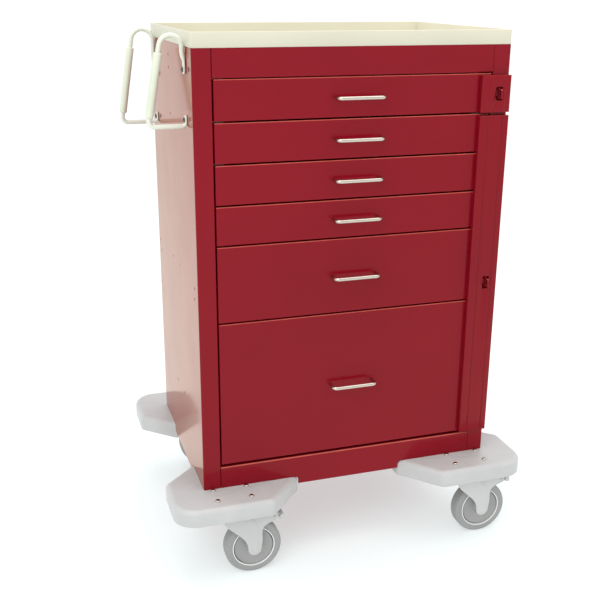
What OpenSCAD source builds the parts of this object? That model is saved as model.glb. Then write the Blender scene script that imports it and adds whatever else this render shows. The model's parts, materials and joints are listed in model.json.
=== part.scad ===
// Six-drawer crash cart: a sheet-steel cabinet on four outriggers with swivel casters,
// a tray top, two push handles on the left side and a breakaway lock bar at the right.
// Millimetres. The origin is on the floor under the middle of the cabinet.
// +Z is up, the drawers open towards -Y, and +X is to the right of a person facing them.

/* [Cabinet] */
// Width of the cabinet
cab_w = 660; // [640:1:680]
// Depth of the cabinet
cab_d = 457; // [440:1:470]
// Height of the cabinet's lower edge above the floor
cab_z = 192; // [188:1:200]
// Thickness of the cabinet's sheet steel
sheet = 1.5; // [1.2:0.1:1.8]
// Width of each front stile
stile_w = 38; // [36:1:40]
// Height of the rail above the drawers
top_rail_h = 55; // [45:1:70]
// Height of the rail below the drawers
bottom_rail_h = 49; // [40:1:60]
// How far the skirt hangs below the cabinet's lower edge between the outriggers
skirt_drop = 17; // [10:1:20]
// Height of the tray's rim
rim_h = 29; // [20:1:40]
// Thickness of the tray's hemmed rim
rim_t = 3; // [2:0.5:5]

/* [Drawers] */
// Height of one drawer unit
unit_h = 81; // [76:1:90]
// Units of height of each drawer, from the top down
drawer_units = [1, 1, 1, 1, 2, 4];
// Gap between one drawer front and the next
front_gap = 3; // [2:0.5:4]
// Gap below the lowest drawer front
bottom_gap = 6; // [3:0.5:8]
// Depth of a folded drawer front
front_t = 18; // [15:1:20]
// Half width of a drawer's box
box_hw = 251; // [240:1:251]
// Thickness of a drawer box's sheet
box_t = 1.2; // [1:0.1:1.5]
// Length of a slide rail
rail_l = 400; // [380:1:405]
// Distance between a pull's two legs
pull_c = 96; // [76:1:128]
// Diameter of a pull's wire
pull_d = 8; // [6:0.5:10]
// How far the middle of a pull's bar stands from the drawer front
pull_out = 25; // [20:1:32]

/* [Push handles] */
// Diameter of the handle's rod
rod_d = 9.5; // [8:0.5:12]
// Diameter of the grip sleeve
grip_d = 16; // [14:0.5:20]
// Height of the front handle's lower rod above the floor
handle_z = 957.5; // [950:0.5:970]
// How much lower the rear handle sits than the front one
handle_step = 35; // [0:1:40]

/* [Casters] */
// Radius of a wheel
wheel_r = 62.5; // [60:0.5:64]
// Width of a tyre
tyre_w = 31; // [28:1:32]
// Trail of a wheel behind its swivel axis
trail = 40.6; // [36:0.2:44]
// Distance of a swivel axis from the cart's middle, sideways
caster_x = 273.6; // [268:0.2:276]
// Distance of a swivel axis from the cart's middle, front to back
caster_y = 257; // [256:0.5:258]
// Spacing of the caster bolts, sideways
bolt_x = 73; // [70:0.5:76]
// Spacing of the caster bolts, front to back
bolt_y = 44.5; // [43:0.5:45]
// Depth of a bumper from its lower rim to its top
bumper_h = 37.5; // [34:0.5:38]

/* [Lock bar] */
// Left edge of the lock bar
bar_x = 264; // [264:1:270]
// How far the bar stands out from the drawer fronts
bar_out = 11; // [10:0.5:12]
// Width of the seal slots
slot_w = 15; // [14:0.5:15]
// Height of the seal slots
slot_h = 28; // [24:1:28]

/* [Hidden] */
$fn = 48;

// Colours
red = "#96232f";
cream = "#e4dec8";
handle_white = "#ebeee1";
bumper_grey = "#c6c6c4";
zinc = "#bfc1c2";
fork_grey = "#dededc";
tyre_grey = "#8f8f8e";
core_grey = "#a5a5a3";
chrome = "#d8dadb";

// Cabinet levels and faces
hw = cab_w / 2;
hd = cab_d / 2;
bend_r = 2.2;
skirt_z = cab_z - skirt_drop;
notch_x = 118.5;
notch_y = 103.5;
notch_r = 8;
drawers_z = cab_z + bottom_rail_h;
stack_h = unit_h * sum_to(len(drawer_units));
rail_z = drawers_z + stack_h;
top_z = rail_z + top_rail_h;
jamb_d = 18;
rear_flange = 22;
seam = 0.4;

// Drawers: a front spans its share of the stack less the gaps
side_gap = 2.5;
front_hw = hw - stile_w - side_gap;
front_r = 2;
box_front = -hd + front_t;
box_back = box_front + rail_l;
box_rise = 10;
box_room = 26;
slide_t = 12.7;
slide_x = box_hw + slide_t;
slide_t_sheet = 1.2;
small_slide_h = 35;
large_slide_h = 45;
slide_rise = 24;
post_w = 25;
post_inset = 10;

// Casters, from the top down
bumper_top = cab_z;
under_z = bumper_top - 34;
plate_t = 3;
plate_z = under_z - plate_t;
plate_w = 95;
plate_d = 67;
race_r = 29;
race_z = plate_z - 6;
crown_t = 3;
crown_z = race_z - 7.5;
kingpin_r = 6;
axle_r = 5;
run_gap = 0.05;
leg_in = 23.4;
leg_out = 26.4;
core_r = 50;
outrigger_w = 97;
outrigger_in = 150;
outrigger_out = 300;
outrigger_wall = 3;
cover_t = 4;
bolt_r = 3.9;
bolt_hole_r = 4.2;
pedal_x = trail + 44;
pedal_z = 135.5;
pedal_pin_r = 2.5;

// Lock bar and its hinge
bar_top = rail_z - unit_h - 5;
bar_low = drawers_z + 7.5;
flap_top = rail_z - 5;
flap_low = bar_top + 6.5;
bar_face = -hd - bar_out;
knuckle_r = 2.8;
pin_r = 1.5;
hinge_x = hw - knuckle_r;
hinge_y = -hd - 4.5;
knuckle_l = 40;
seal_x = 304;
staple_x = seal_x + 1;
staple_t = 3;
staple_h = 20;
staple_out = 20;
flap_slot_z = (flap_top + flap_low) / 2;
bar_slot_z = (bar_top + bar_low) / 2 - 2;

// Push handles: outlines run out from the side panel and up; the front handle comes first
handle_y = [-170, 170];
handle_out = [78, 84.5];
handle_h = [169, 201];
arch_out = [45, 49];
arch_r = [21.4, 23.6];
grip_from = [17, 22];
grip_l = [123, 143];
riser_out = 5.5;
elbow_r = 12;
lower_screw = 12;
upper_screw = 106.5;
tab_w = 14;
handle_hole_r = 3.2;

// Small punched holes of the side panels: distance behind the middle, height
accessory_y = 40;
accessory_z = 640;
accessory_r = 2.25;
punch_r = 3;
panel_holes = [[10, 1080], [10, 1054], [10, 960], [198, 965], [-195, 635], [-190, 611],
               [210, 635], [198, 611], [218, 527], [-40, 340], [38, 340]];

// ---- helpers ----
function sum_to(n) = n == 0 ? 0 : drawer_units[n - 1] + sum_to(n - 1);
function drawer_hi(i) = rail_z - unit_h * sum_to(i - 1);
function drawer_lo(i) = rail_z - unit_h * sum_to(i);
function front_hi(i) = drawer_hi(i) - front_gap / 2;
function front_lo(i) = drawer_lo(i) + (i == len(drawer_units) ? bottom_gap : front_gap / 2);
function is_large(i) = drawer_units[i - 1] > 1;
function box_lo(i) = drawer_lo(i) + box_rise;
function box_hi(i) = drawer_hi(i) - (box_room - box_rise);
function slide_mid(i) = box_lo(i) + slide_rise;
function handle_base(k) = handle_z - k * handle_step;

function unit(v) = v / norm(v);
function left_of(v) = [-v[1], v[0]];
function arc(c, r, a0, a1, n = 6) =
    [for (i = [0:n]) let (a = a0 + (a1 - a0) * i / n) c + r * [cos(a), sin(a)]];
function turn(u, v) = atan2(u[0] * v[1] - u[1] * v[0], u * v);

// One face of a bent sheet: the line w to the left of path p, rounded at each bend
function face_line(p, r, w) = concat(
    [p[0] + w * left_of(unit(p[1] - p[0]))],
    [for (i = [1:len(p) - 2])
        let (u = unit(p[i] - p[i - 1]),
             v = unit(p[i + 1] - p[i]),
             a = turn(u, v),
             s = sign(a),
             c = p[i] - u * r * tan(abs(a) / 2) + s * r * left_of(u),
             a0 = atan2(-s * left_of(u)[1], -s * left_of(u)[0]))
        each arc(c, r - s * w, a0, a0 + a)],
    [p[len(p) - 1] + w * left_of(unit(p[len(p) - 1] - p[len(p) - 2]))]);
function reversed(p) = [for (i = [len(p) - 1:-1:0]) p[i]];
function bent_sheet(p, t, r) = concat(face_line(p, r, t / 2), reversed(face_line(p, r, -t / 2)));
// A rectangle whose corners are rounded, as points
function round_rect(lo, hi, r) = concat(
    arc([hi[0] - r, hi[1] - r], r, 0, 90), arc([lo[0] + r, hi[1] - r], r, 90, 180),
    arc([lo[0] + r, lo[1] + r], r, 180, 270), arc([hi[0] - r, lo[1] + r], r, 270, 360));

module box_at(lo, hi) {
    translate(lo) cube(hi - lo);
}

// A shape drawn in X and Z, with its thickness running towards +Y from y0 to y1
module in_xz(y0, y1) {
    translate([0, y1, 0]) rotate([90, 0, 0]) linear_extrude(y1 - y0) children();
}

// A shape drawn in Y and Z, with its thickness along X
module in_yz(x0, x1) {
    translate([x0, 0, 0]) rotate([90, 0, 90]) linear_extrude(x1 - x0) children();
}

module at_z(z0, z1) {
    translate([0, 0, z0]) linear_extrude(z1 - z0) children();
}

module both_sides() {
    children();
    mirror([1, 0, 0]) children();
}

// A round rod along a path of points in X and Y, with a bend radius for each inner point.
// The bends are quarter turns, so the rod is made of straight and ring-shaped pieces.
module rod(p, bends, r) {
    n = len(p);
    dirs = [for (i = [0:n - 2]) unit(p[i + 1] - p[i])];
    turns = [for (i = [1:n - 2]) turn(dirs[i - 1], dirs[i])];
    cut = concat([0], [for (i = [1:n - 2]) bends[i - 1] * tan(abs(turns[i - 1]) / 2)], [0]);
    for (i = [0:n - 2]) {
        start = p[i] + dirs[i] * cut[i];
        length = norm(p[i + 1] - p[i]) - cut[i] - cut[i + 1];
        translate([start[0], start[1], 0])
            rotate([0, 90, atan2(dirs[i][1], dirs[i][0])]) cylinder(r = r, h = length);
    }
    for (i = [1:n - 2]) {
        s = sign(turns[i - 1]);
        c = p[i] - dirs[i - 1] * cut[i] + s * bends[i - 1] * left_of(dirs[i - 1]);
        a0 = atan2(-s * left_of(dirs[i - 1])[1], -s * left_of(dirs[i - 1])[0]);
        translate([c[0], c[1], 0]) rotate([0, 0, s > 0 ? a0 : a0 + turns[i - 1]])
            rotate_extrude(angle = abs(turns[i - 1])) translate([bends[i - 1], 0]) circle(r = r);
    }
}

// The middle line of a bent rod: each inner point of p becomes an arc
function middle_line(p, bends) = concat(
    [p[0]],
    [for (i = [1:len(p) - 2])
        let (u = unit(p[i] - p[i - 1]),
             a = turn(u, unit(p[i + 1] - p[i])),
             s = sign(a),
             c = p[i] - u * bends[i - 1] * tan(abs(a) / 2) + s * bends[i - 1] * left_of(u),
             a0 = atan2(-s * left_of(u)[1], -s * left_of(u)[0]))
        each arc(c, bends[i - 1], a0, a0 + a, 9)],
    [p[len(p) - 1]]);

// A rod with bends of any angle, as one swept tube
module swept_rod(p, bends, r, sides = 20) {
    line = middle_line(p, bends);
    n = len(line);
    normals = [for (i = [0:n - 1]) left_of(unit(line[min(i + 1, n - 1)] - line[max(i - 1, 0)]))];
    points = [for (i = [0:n - 1], k = [0:sides - 1])
        let (a = 360 * k / sides, q = line[i] + normals[i] * r * cos(a)) [q[0], q[1], r * sin(a)]];
    walls = [for (i = [0:n - 2], k = [0:sides - 1])
        let (a = i * sides + k, b = i * sides + (k + 1) % sides)
        each [[a, b + sides, b], [a, a + sides, b + sides]]];
    caps = [[for (k = [0:sides - 1]) k], [for (k = [sides - 1:-1:0]) (n - 1) * sides + k]];
    polyhedron(points = points, faces = concat(walls, caps));
}

// ---- cabinet ----
// The corner of the skirt that is cut away above an outrigger, from u = edge outwards
module skirt_notch(edge, far) {
    polygon(concat([[far, skirt_z - 1], [edge, skirt_z - 1]],
                   arc([edge + notch_r, cab_z - notch_r], notch_r, 180, 90),
                   [[far, cab_z]]));
}

module side_panel() {
    x = hw - sheet / 2;
    y = hd - sheet / 2;
    jamb = hw - stile_w + sheet / 2;
    difference() {
        at_z(skirt_z, top_z)
            polygon(bent_sheet([[-jamb, -hd + jamb_d], [-jamb, -y], [-x, -y], [-x, y],
                                [-hw + rear_flange, y]], sheet, bend_r));
        for (s = [0, 1]) mirror([0, s, 0])
            in_yz(-hw - 1, -hw + stile_w + 2) skirt_notch(notch_y, hd + 1);
        for (p = panel_holes)
            translate([-hw - 1, p[0], p[1]]) rotate([0, 90, 0]) cylinder(r = punch_r, h = 6);
        for (y = [-accessory_y, accessory_y])
            translate([-hw - 1, y, accessory_z]) rotate([0, 90, 0]) cylinder(r = accessory_r, h = 6);
    }
}

module left_side_panel() {
    color(red) difference() {
        side_panel();
        for (k = [0, 1], v = [lower_screw, upper_screw])
            translate([-hw - 1, handle_y[k], handle_base(k) + v]) rotate([0, 90, 0])
                cylinder(r = handle_hole_r, h = 6);
    }
}

module right_side_panel() {
    color(red) mirror([1, 0, 0]) side_panel();
}

module back_panel() {
    edge = hw - sheet - bend_r;
    color(red) difference() {
        box_at([-edge, hd - 2 * sheet, skirt_z], [edge, hd - sheet, top_z - sheet]);
        both_sides() in_xz(hd - 2 * sheet - 1, hd) skirt_notch(notch_x, hw + 1);
    }
}

module base_pan() {
    edge = 12;
    color(red) difference() {
        box_at([-hw + sheet, -hd + sheet, cab_z],
               [hw - sheet, hd - 2 * sheet, cab_z + edge]);
        box_at([-hw + 2 * sheet, -hd + 2 * sheet, cab_z + sheet],
               [hw - 2 * sheet, hd - 3 * sheet, cab_z + edge + 1]);
        both_sides() box_at([hw - stile_w - sheet, -hd, cab_z - 1],
                            [hw, -hd + jamb_d + 1, cab_z + edge + 1]);
    }
}

module top_deck() {
    color(red) difference() {
        box_at([-hw + sheet, -hd + sheet, top_z - sheet], [hw - sheet, hd - sheet, top_z]);
        both_sides() {
            box_at([hw - stile_w - 1, -hd, top_z - 2 * sheet], [hw, -hd + jamb_d + 1, top_z + 1]);
            box_at([hw - sheet - bend_r, hd - sheet - bend_r, top_z - 2 * sheet],
                   [hw, hd, top_z + 1]);
        }
    }
}

module top_rail() {
    y = -hd + sheet / 2;
    color(red) in_yz(-hw + stile_w + seam, hw - stile_w - seam)
        polygon(bent_sheet([[-hd + jamb_d, rail_z + sheet / 2], [y, rail_z + sheet / 2],
                            [y, top_z]], sheet, bend_r));
}

module bottom_rail() {
    y = -hd + sheet / 2;
    z = drawers_z - sheet / 2;
    color(red) difference() {
        in_yz(-hw + stile_w + seam, hw - stile_w - seam)
            polygon(bent_sheet([[y, skirt_z], [y, z], [-hd + jamb_d, z]], sheet, bend_r));
        both_sides() in_xz(-hd - 1, -hd + sheet + 1) skirt_notch(notch_x, hw + 1);
    }
}

module top_tray() {
    r = 2;
    color(cream) difference() {
        at_z(top_z, top_z + rim_h) polygon(round_rect([-hw, -hd], [hw, hd], r));
        at_z(top_z + sheet, top_z + rim_h + 1)
            polygon(round_rect([-hw + rim_t, -hd + rim_t], [hw - rim_t, hd - rim_t], r));
    }
}

// ---- outriggers and bumpers ----
// Plan of a bumper in its own quarter: [outward in X, outward in Y]
module bumper_plan(inset) {
    inner_x = 119;
    inner_y = 104;
    edge_x = 404;
    edge_y = 310;
    slope = 78;
    corner_r = 50;
    soft_r = 16;
    offset(delta = -inset) polygon(concat(
        [[inner_x, edge_y - slope - 36], [inner_x, edge_y - slope]],
        arc([inner_x + slope + soft_r * tan(22.5), edge_y - soft_r], soft_r, 135, 90, 4),
        arc([edge_x - corner_r, edge_y - corner_r], corner_r, 90, 0, 10),
        arc([edge_x - soft_r, inner_y + slope - 8 + soft_r * tan(22.5)], soft_r, 0, -45, 4),
        [[hw, inner_y], [hw - 60, inner_y]]));
}

// A moulded cover: a soft-edged shell, open below, that the outrigger fills
module bumper(sx, sy) {
    shoulder = 11;
    steps = 4;
    z0 = bumper_top - bumper_h;
    color(bumper_grey) difference() {
        scale([sx, sy, 1]) hull() {
            at_z(z0, z0 + 0.5) bumper_plan(1.5);
            at_z(z0 + 2, z0 + 2.5) bumper_plan(0);
            for (i = [0:steps]) {
                a = 90 * i / steps;
                z = bumper_top - shoulder * (1 - sin(a));
                at_z(z - 0.05, z) bumper_plan(shoulder * (1 - cos(a)));
            }
        }
        scale([sx, sy, 1]) at_z(z0 - 1, bumper_top - cover_t) bumper_plan(cover_t + 2);
        for (x = [-0.5, 0.5], y = [-0.5, 0.5])
            translate([sx * caster_x + x * bolt_x, sy * caster_y + y * bolt_y, z0])
                cylinder(r = bolt_hole_r, h = bumper_h + 1);
    }
}

module at_casters() {
    for (sx = [-1, 1], sy = [-1, 1]) translate([sx * caster_x, sy * caster_y, 0]) children();
}

module at_caster_bolts() {
    at_casters() for (x = [-0.5, 0.5], y = [-0.5, 0.5])
        translate([x * bolt_x, y * bolt_y, 0]) children();
}

// Box-section arms that carry the casters outside the cabinet
module outriggers() {
    z0 = under_z;
    z1 = bumper_top - cover_t;
    w = outrigger_w / 2;
    color(zinc) difference() {
        for (sx = [-1, 1], sy = [0, 1]) mirror([0, sy, 0]) translate([sx * caster_x, 0, 0])
            difference() {
                box_at([-w, outrigger_in, z0], [w, outrigger_out, z1]);
                box_at([-w + outrigger_wall, outrigger_in - 1, z0 + outrigger_wall],
                       [w - outrigger_wall, outrigger_out + 1, z1 - outrigger_wall]);
            }
        at_caster_bolts() translate([0, 0, z0 - 1]) cylinder(r = bolt_hole_r, h = z1 - z0 + 2);
    }
}

// Top plate, upper race and kingpin of each caster
module caster_plates() {
    head_r = 10;
    color(zinc) difference() {
        at_casters() {
            at_z(plate_z, plate_z + plate_t)
                polygon(round_rect([-plate_w / 2, -plate_d / 2], [plate_w / 2, plate_d / 2], 8));
            translate([0, 0, race_z]) cylinder(r = race_r, h = plate_z - race_z);
            translate([0, 0, crown_z - 4]) cylinder(r = kingpin_r, h = race_z - crown_z + 4);
            translate([0, 0, crown_z - 4]) cylinder(r = head_r, h = 3.7);
        }
        at_caster_bolts() translate([0, 0, plate_z - 1])
            cylinder(r = bolt_hole_r, h = plate_t + 2);
    }
}

module caster_bolts() {
    head_r = 5.3;
    nut_r = 6.6;
    color(chrome) at_caster_bolts() {
        translate([0, 0, bumper_top]) cylinder(r1 = head_r, r2 = head_r - 1.6, h = 3.6);
        translate([0, 0, plate_z - 7]) cylinder(r = bolt_r, h = bumper_top - plate_z + 7);
        translate([0, 0, plate_z - 5.5]) cylinder(r = nut_r, h = 5.5, $fn = 6);
    }
}

// ---- slides ----
module slide_posts() {
    x = slide_x + sheet / 2;
    y = -box_front - post_inset;
    color(zinc) both_sides() for (s = [0, 1]) mirror([0, s, 0])
        at_z(cab_z + sheet, top_z - sheet)
            polygon(bent_sheet([[x + 24, -y], [x, -y], [x, -y + post_w], [x + 24, -y + post_w]],
                               sheet, bend_r));
}

// A channel section with its web at x0 and its two lips reaching to x1
module channel(x0, x1, half_h, zc) {
    t = slide_t_sheet;
    web = x1 > x0 ? [x0, x0 + t] : [x0 - t, x0];
    translate([0, zc]) {
        translate([web[0], -half_h]) square([t, 2 * half_h]);
        for (s = [0, 1]) mirror([0, s])
            translate([min(x0, x1), half_h - t]) square([abs(x1 - x0), t]);
    }
}

module slide_length() {
    in_xz(box_front + 3, box_back - 3) children();
}

// The outer channel of each slide, fixed to the posts
module fixed_slide_rails() {
    color(zinc) both_sides() for (i = [1:6])
        slide_length() channel(slide_x, box_hw + 2.5,
                               (is_large(i) ? large_slide_h : small_slide_h) / 2, slide_mid(i));
}

// The middle channel of a full-extension slide
module middle_rails(i) {
    gap = 0.6;
    color(zinc) both_sides() slide_length()
        channel(slide_x - 3, box_hw + 4, large_slide_h / 2 - slide_t_sheet - gap, slide_mid(i));
}

// ---- drawers ----
module drawer_front(i) {
    lo = front_lo(i);
    hi = front_hi(i);
    color(red) difference() {
        intersection() {
            in_yz(-front_hw, front_hw)
                polygon(concat([[box_front, lo], [box_front, hi]],
                               arc([-hd + front_r, hi - front_r], front_r, 90, 180),
                               arc([-hd + front_r, lo + front_r], front_r, 180, 270)));
            at_z(lo - 1, hi + 1)
                polygon(concat([[front_hw, box_front], [-front_hw, box_front]],
                               arc([-front_hw + front_r, -hd + front_r], front_r, 180, 270),
                               arc([front_hw - front_r, -hd + front_r], front_r, 270, 360)));
        }
        box_at([-front_hw + sheet, -hd + sheet, lo + sheet],
               [front_hw - sheet, box_front + 1, hi - sheet]);
    }
}

// The drawer's box, with the inner rail of each slide on its sides
module drawer_box(i) {
    gap = 0.6;
    lips = is_large(i) ? slide_x - 5.5 : slide_x - 2.2;
    fixed_h = is_large(i) ? large_slide_h / 2 - slide_t_sheet - gap : small_slide_h / 2;
    color(zinc) {
        difference() {
            box_at([-box_hw, box_front, box_lo(i)], [box_hw, box_back, box_hi(i)]);
            box_at([-box_hw + box_t, box_front + box_t, box_lo(i) + box_t],
                   [box_hw - box_t, box_back - box_t, box_hi(i) + 1]);
        }
        both_sides() slide_length()
            channel(box_hw, lips, fixed_h - slide_t_sheet - gap, slide_mid(i));
    }
}

module drawer_pull(i) {
    bend = 9;
    z = (drawer_hi(i) + drawer_lo(i)) / 2;
    half = pull_c / 2;
    color(chrome) translate([0, 0, z])
        rod([[-half, -hd], [-half, -hd - pull_out], [half, -hd - pull_out], [half, -hd]],
            [bend, bend], pull_d / 2);
}

// ---- push handles ----
// Children are drawn in X (out from the left side) and Y (up); k is 0 in front, 1 behind
module on_left_side(k) {
    translate([-hw, handle_y[k], handle_base(k)]) mirror([1, 0, 0]) rotate([90, 0, 0]) children();
}

// A flattened end of the rod with a screw hole
module handle_tab(low, high, screw, t) {
    difference() {
        box_at([0, low, -tab_w / 2], [t, high, tab_w / 2]);
        translate([-1, screw, 0]) rotate([0, 90, 0]) cylinder(r = handle_hole_r, h = t + 2);
    }
}

module push_handle(k) {
    color(handle_white) on_left_side(k) {
        swept_rod([[3, 0], [handle_out[k], 0], [arch_out[k], handle_h[k]],
                   [riser_out, handle_h[k]], [riser_out, upper_screw + 10]],
                  [elbow_r, arch_r[k], arch_r[k]], rod_d / 2);
        handle_tab(-5, 21, lower_screw, 4);
        handle_tab(upper_screw - 9, upper_screw + 17, upper_screw, 5);
    }
}

module handle_grips() {
    color(handle_white) for (k = [0, 1]) on_left_side(k) {
        lean = atan2(handle_out[k] - arch_out[k], handle_h[k]);
        translate([handle_out[k], 0, 0]) rotate([0, 0, lean]) translate([0, grip_from[k], 0])
            rotate([-90, 0, 0]) difference() {
                cylinder(r = grip_d / 2, h = grip_l[k]);
                translate([0, 0, -1]) cylinder(r = rod_d / 2 + run_gap, h = grip_l[k] + 2);
            }
    }
}

module handle_screws() {
    head_r = 5;
    color(chrome) for (k = [0, 1]) on_left_side(k) for (v = [0, 1]) {
        t = v == 0 ? 4 : 5;
        translate([-6, v == 0 ? lower_screw : upper_screw, 0]) rotate([0, 90, 0]) {
            cylinder(r = 3, h = 6 + t);
            translate([0, 0, 6 + t]) cylinder(r1 = head_r, r2 = head_r - 1.5, h = 3);
        }
    }
}

// ---- lock bar ----
// Alternate hinge knuckles between two heights; odd ones are fixed, even ones move
module knuckles(low, high, moving) {
    n = max(3, 2 * floor((high - low) / knuckle_l / 2) + 1);
    step = (high - low) / n;
    gap = 0.3;
    for (i = [0:n - 1]) if ((i % 2 == 1) == moving)
        at_z(low + i * step + (i > 0 ? gap : 0), low + (i + 1) * step - (i < n - 1 ? gap : 0))
            children();
}

module knuckle_plan(bore_r) {
    translate([hinge_x, hinge_y]) difference() {
        circle(r = knuckle_r);
        circle(r = bore_r);
    }
}

module lock_hinge_leaves() {
    leaf_x = hw - 27;
    t = 1.2;
    color(red) for (p = [[bar_low, bar_top], [flap_low, flap_top]]) difference() {
        union() {
            box_at([leaf_x, -hd - t, p[0]], [hinge_x, -hd, p[1]]);
            knuckles(p[0], p[1], false) {
                translate([hinge_x, hinge_y]) circle(r = knuckle_r);
                translate([hinge_x - knuckle_r, hinge_y]) square([knuckle_r, -hd - hinge_y]);
            }
        }
        translate([hinge_x, hinge_y, p[0] - 1]) cylinder(r = pin_r, h = p[1] - p[0] + 2);
        box_at([staple_x - staple_t, -hd - t - 1, middle_slot(p) - slot_h / 2],
               [staple_x + staple_t, -hd + 1, middle_slot(p) + slot_h / 2]);
    }
}
function middle_slot(p) = p[1] == bar_top ? bar_slot_z : flap_slot_z;

module lock_hinge_pins() {
    color(zinc) for (p = [[bar_low, bar_top], [flap_low, flap_top]])
        translate([hinge_x, hinge_y, p[0]]) cylinder(r = pin_r, h = p[1] - p[0]);
}

// Staples that stand through the slots of the closed bar and flap and take a seal
module seal_staples() {
    bar = 3.5;
    color(red) for (z = [bar_slot_z, flap_slot_z])
        in_yz(staple_x - staple_t / 2, staple_x + staple_t / 2) translate([-hd, z]) difference() {
            polygon(round_rect([-staple_out, -staple_h / 2], [4, staple_h / 2], 3));
            polygon(round_rect([-staple_out + bar, -staple_h / 2 + bar],
                               [6, staple_h / 2 - bar], 1.5));
            translate([0, -staple_h]) square([10, 2 * staple_h]);
        }
}

// Plan of the bar or flap: folded back at the left, curled into the knuckles at the right.
// Each groove or ridge is a shallow step in the face at the middle line of the sheet.
module lock_plan(steps, rise) {
    y = bar_face + sheet / 2;
    w = 2;
    rib = [for (x = steps) each [[x - w, y], [x - w / 2, y + rise], [x + w / 2, y + rise], [x + w, y]]];
    polygon(bent_sheet(concat([[bar_x + sheet / 2, -hd - 0.6]], [[bar_x + sheet / 2, y]], rib,
                              [[hw - sheet / 2, y], [hw - sheet / 2, hinge_y]]), sheet, 0.9));
}

module lock_leaf(low, high, slot_z, steps, rise) {
    difference() {
        union() {
            at_z(low, high) lock_plan(steps, rise);
            box_at([bar_x, bar_face, high - sheet],
                   [hinge_x - knuckle_r - 1, -hd - 1.7, high]);
            knuckles(low, high, true) translate([hinge_x, hinge_y]) circle(r = knuckle_r);
        }
        knuckles(low, high, false) translate([hinge_x - 2 * knuckle_r, hinge_y - knuckle_r - 0.4])
            square([3 * knuckle_r + 1, 4 * knuckle_r]);
        translate([hinge_x, hinge_y, low - 1]) cylinder(r = pin_r + run_gap, h = high - low + 2);
        box_at([seal_x - slot_w / 2, bar_face - 1, slot_z - slot_h / 2],
               [seal_x + slot_w / 2, bar_face + sheet + 1, slot_z + slot_h / 2]);
    }
}

module lock_flap() {
    color(red) lock_leaf(flap_low, flap_top, flap_slot_z, [285.3, 315.5], -0.8);
}

module lock_bar() {
    color(red) lock_leaf(bar_low, bar_top, bar_slot_z, [282.6, 315.5], 1.2);
}

// ---- casters ----
// A caster at its corner, with its wheel trailing towards +X
module at_caster(sx, sy) {
    translate([sx * caster_x, sy * caster_y, 0]) children();
}

function bezier(a, b, c, d, n = 8) =
    [for (i = [0:n]) let (t = i / n)
        a * pow(1 - t, 3) + 3 * b * t * pow(1 - t, 2) + 3 * c * t * t * (1 - t) + d * pow(t, 3)];

// Side view of a fork leg: a wide crown that narrows to a round end at the axle
module leg_outline() {
    top = crown_z + crown_t;
    end_r = 14.5;
    translate([trail, 0])
        polygon(concat([[-66, top], [-66, 136]],
                       bezier([-58, 124], [-38, 102], [-15, 92], [-end_r, wheel_r]),
                       arc([0, wheel_r], end_r, 180, 360, 12),
                       bezier([end_r + 3, 84], [15, 114], [19, 118], [40, 124.5]),
                       [[52, 129], [52, top]]));
}

module fork(brake) {
    head_r = 8;
    color(fork_grey) {
        difference() {
            union() {
                for (s = [0, 1]) mirror([0, s, 0]) in_xz(leg_in, leg_out) leg_outline();
                box_at([trail - 66, -leg_in, crown_z], [trail + 52, leg_in, crown_z + crown_t]);
                translate([0, 0, crown_z]) cylinder(r = race_r + 2, h = race_z - crown_z - 0.6);
            }
            translate([0, 0, crown_z - 1]) cylinder(r = kingpin_r + run_gap, h = 20);
            translate([trail, -leg_out - 1, wheel_r]) rotate([-90, 0, 0])
                cylinder(r = axle_r + run_gap, h = 2 * leg_out + 2);
            if (brake) translate([pedal_x, -leg_out - 1, pedal_z]) rotate([-90, 0, 0])
                cylinder(r = pedal_pin_r + run_gap, h = 2 * leg_out + 2);
        }
        translate([trail, 0, wheel_r]) rotate([90, 0, 0]) {
            cylinder(r = axle_r, h = 2 * leg_out, center = true);
            for (s = [0, 1]) mirror([0, 0, s]) translate([0, 0, leg_out])
                cylinder(r1 = head_r, r2 = head_r - 1, h = 1.2);
        }
    }
}

// A turned shape on the wheel's axle, from points [radius, along the axle]
module turned(points) {
    translate([trail, 0, wheel_r]) rotate([90, 0, 0]) rotate_extrude($fn = 96) polygon(points);
}

module wheel() {
    hub = [13, leg_in - 0.5];
    web = 8;
    rim = [44, 14.5];
    lip = [47.2, 16];
    bore = axle_r + run_gap;
    color(core_grey) turned(concat(
        [[bore, -hub[1]], [hub[0], -hub[1]], [hub[0] + 2, -web], [rim[0] - 2, -web],
         [rim[0], -rim[1]], [lip[0], -rim[1]], [lip[0], -lip[1]], [core_r, -lip[1]],
         [core_r, lip[1]], [lip[0], lip[1]], [lip[0], rim[1]], [rim[0], rim[1]],
         [rim[0] - 2, web], [hub[0] + 2, web], [hub[0], hub[1]], [bore, hub[1]]]));
}

module tyre() {
    w = tyre_w / 2;
    shoulder = 7;
    color(tyre_grey) turned(concat(
        [[core_r, -w + 1], [core_r + 2, -w]],
        arc([wheel_r - shoulder, -w + shoulder], shoulder, -90, 0),
        arc([wheel_r - shoulder, w - shoulder], shoulder, 0, 90),
        [[core_r + 2, w], [core_r, w - 1]]));
}

// Brake pedal: a lever on a cross pin in the fork, with a broad pad behind the wheel
module brake_pedal(sx) {
    lever_hw = 17;
    pad_hw = 23;
    reach = 67.5;
    color(fork_grey) at_caster(sx, -1) {
        translate([pedal_x, 0, pedal_z]) rotate([90, 0, 0])
            cylinder(r = pedal_pin_r, h = 2 * leg_out + 2, center = true);
        in_xz(-lever_hw, lever_hw) translate([trail, 0])
            polygon([[37, 130], [37, 138.5], [50, 138.5], [60, 136], [60, 128]]);
        in_xz(-pad_hw, pad_hw) translate([trail, 0])
            polygon(concat([[57, 126], [57, 134], [60, 136.5]],
                           arc([reach - 4, 132.5], 4, 90, 0), [[reach, 126], [reach - 2, 124]]));
    }
}

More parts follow.
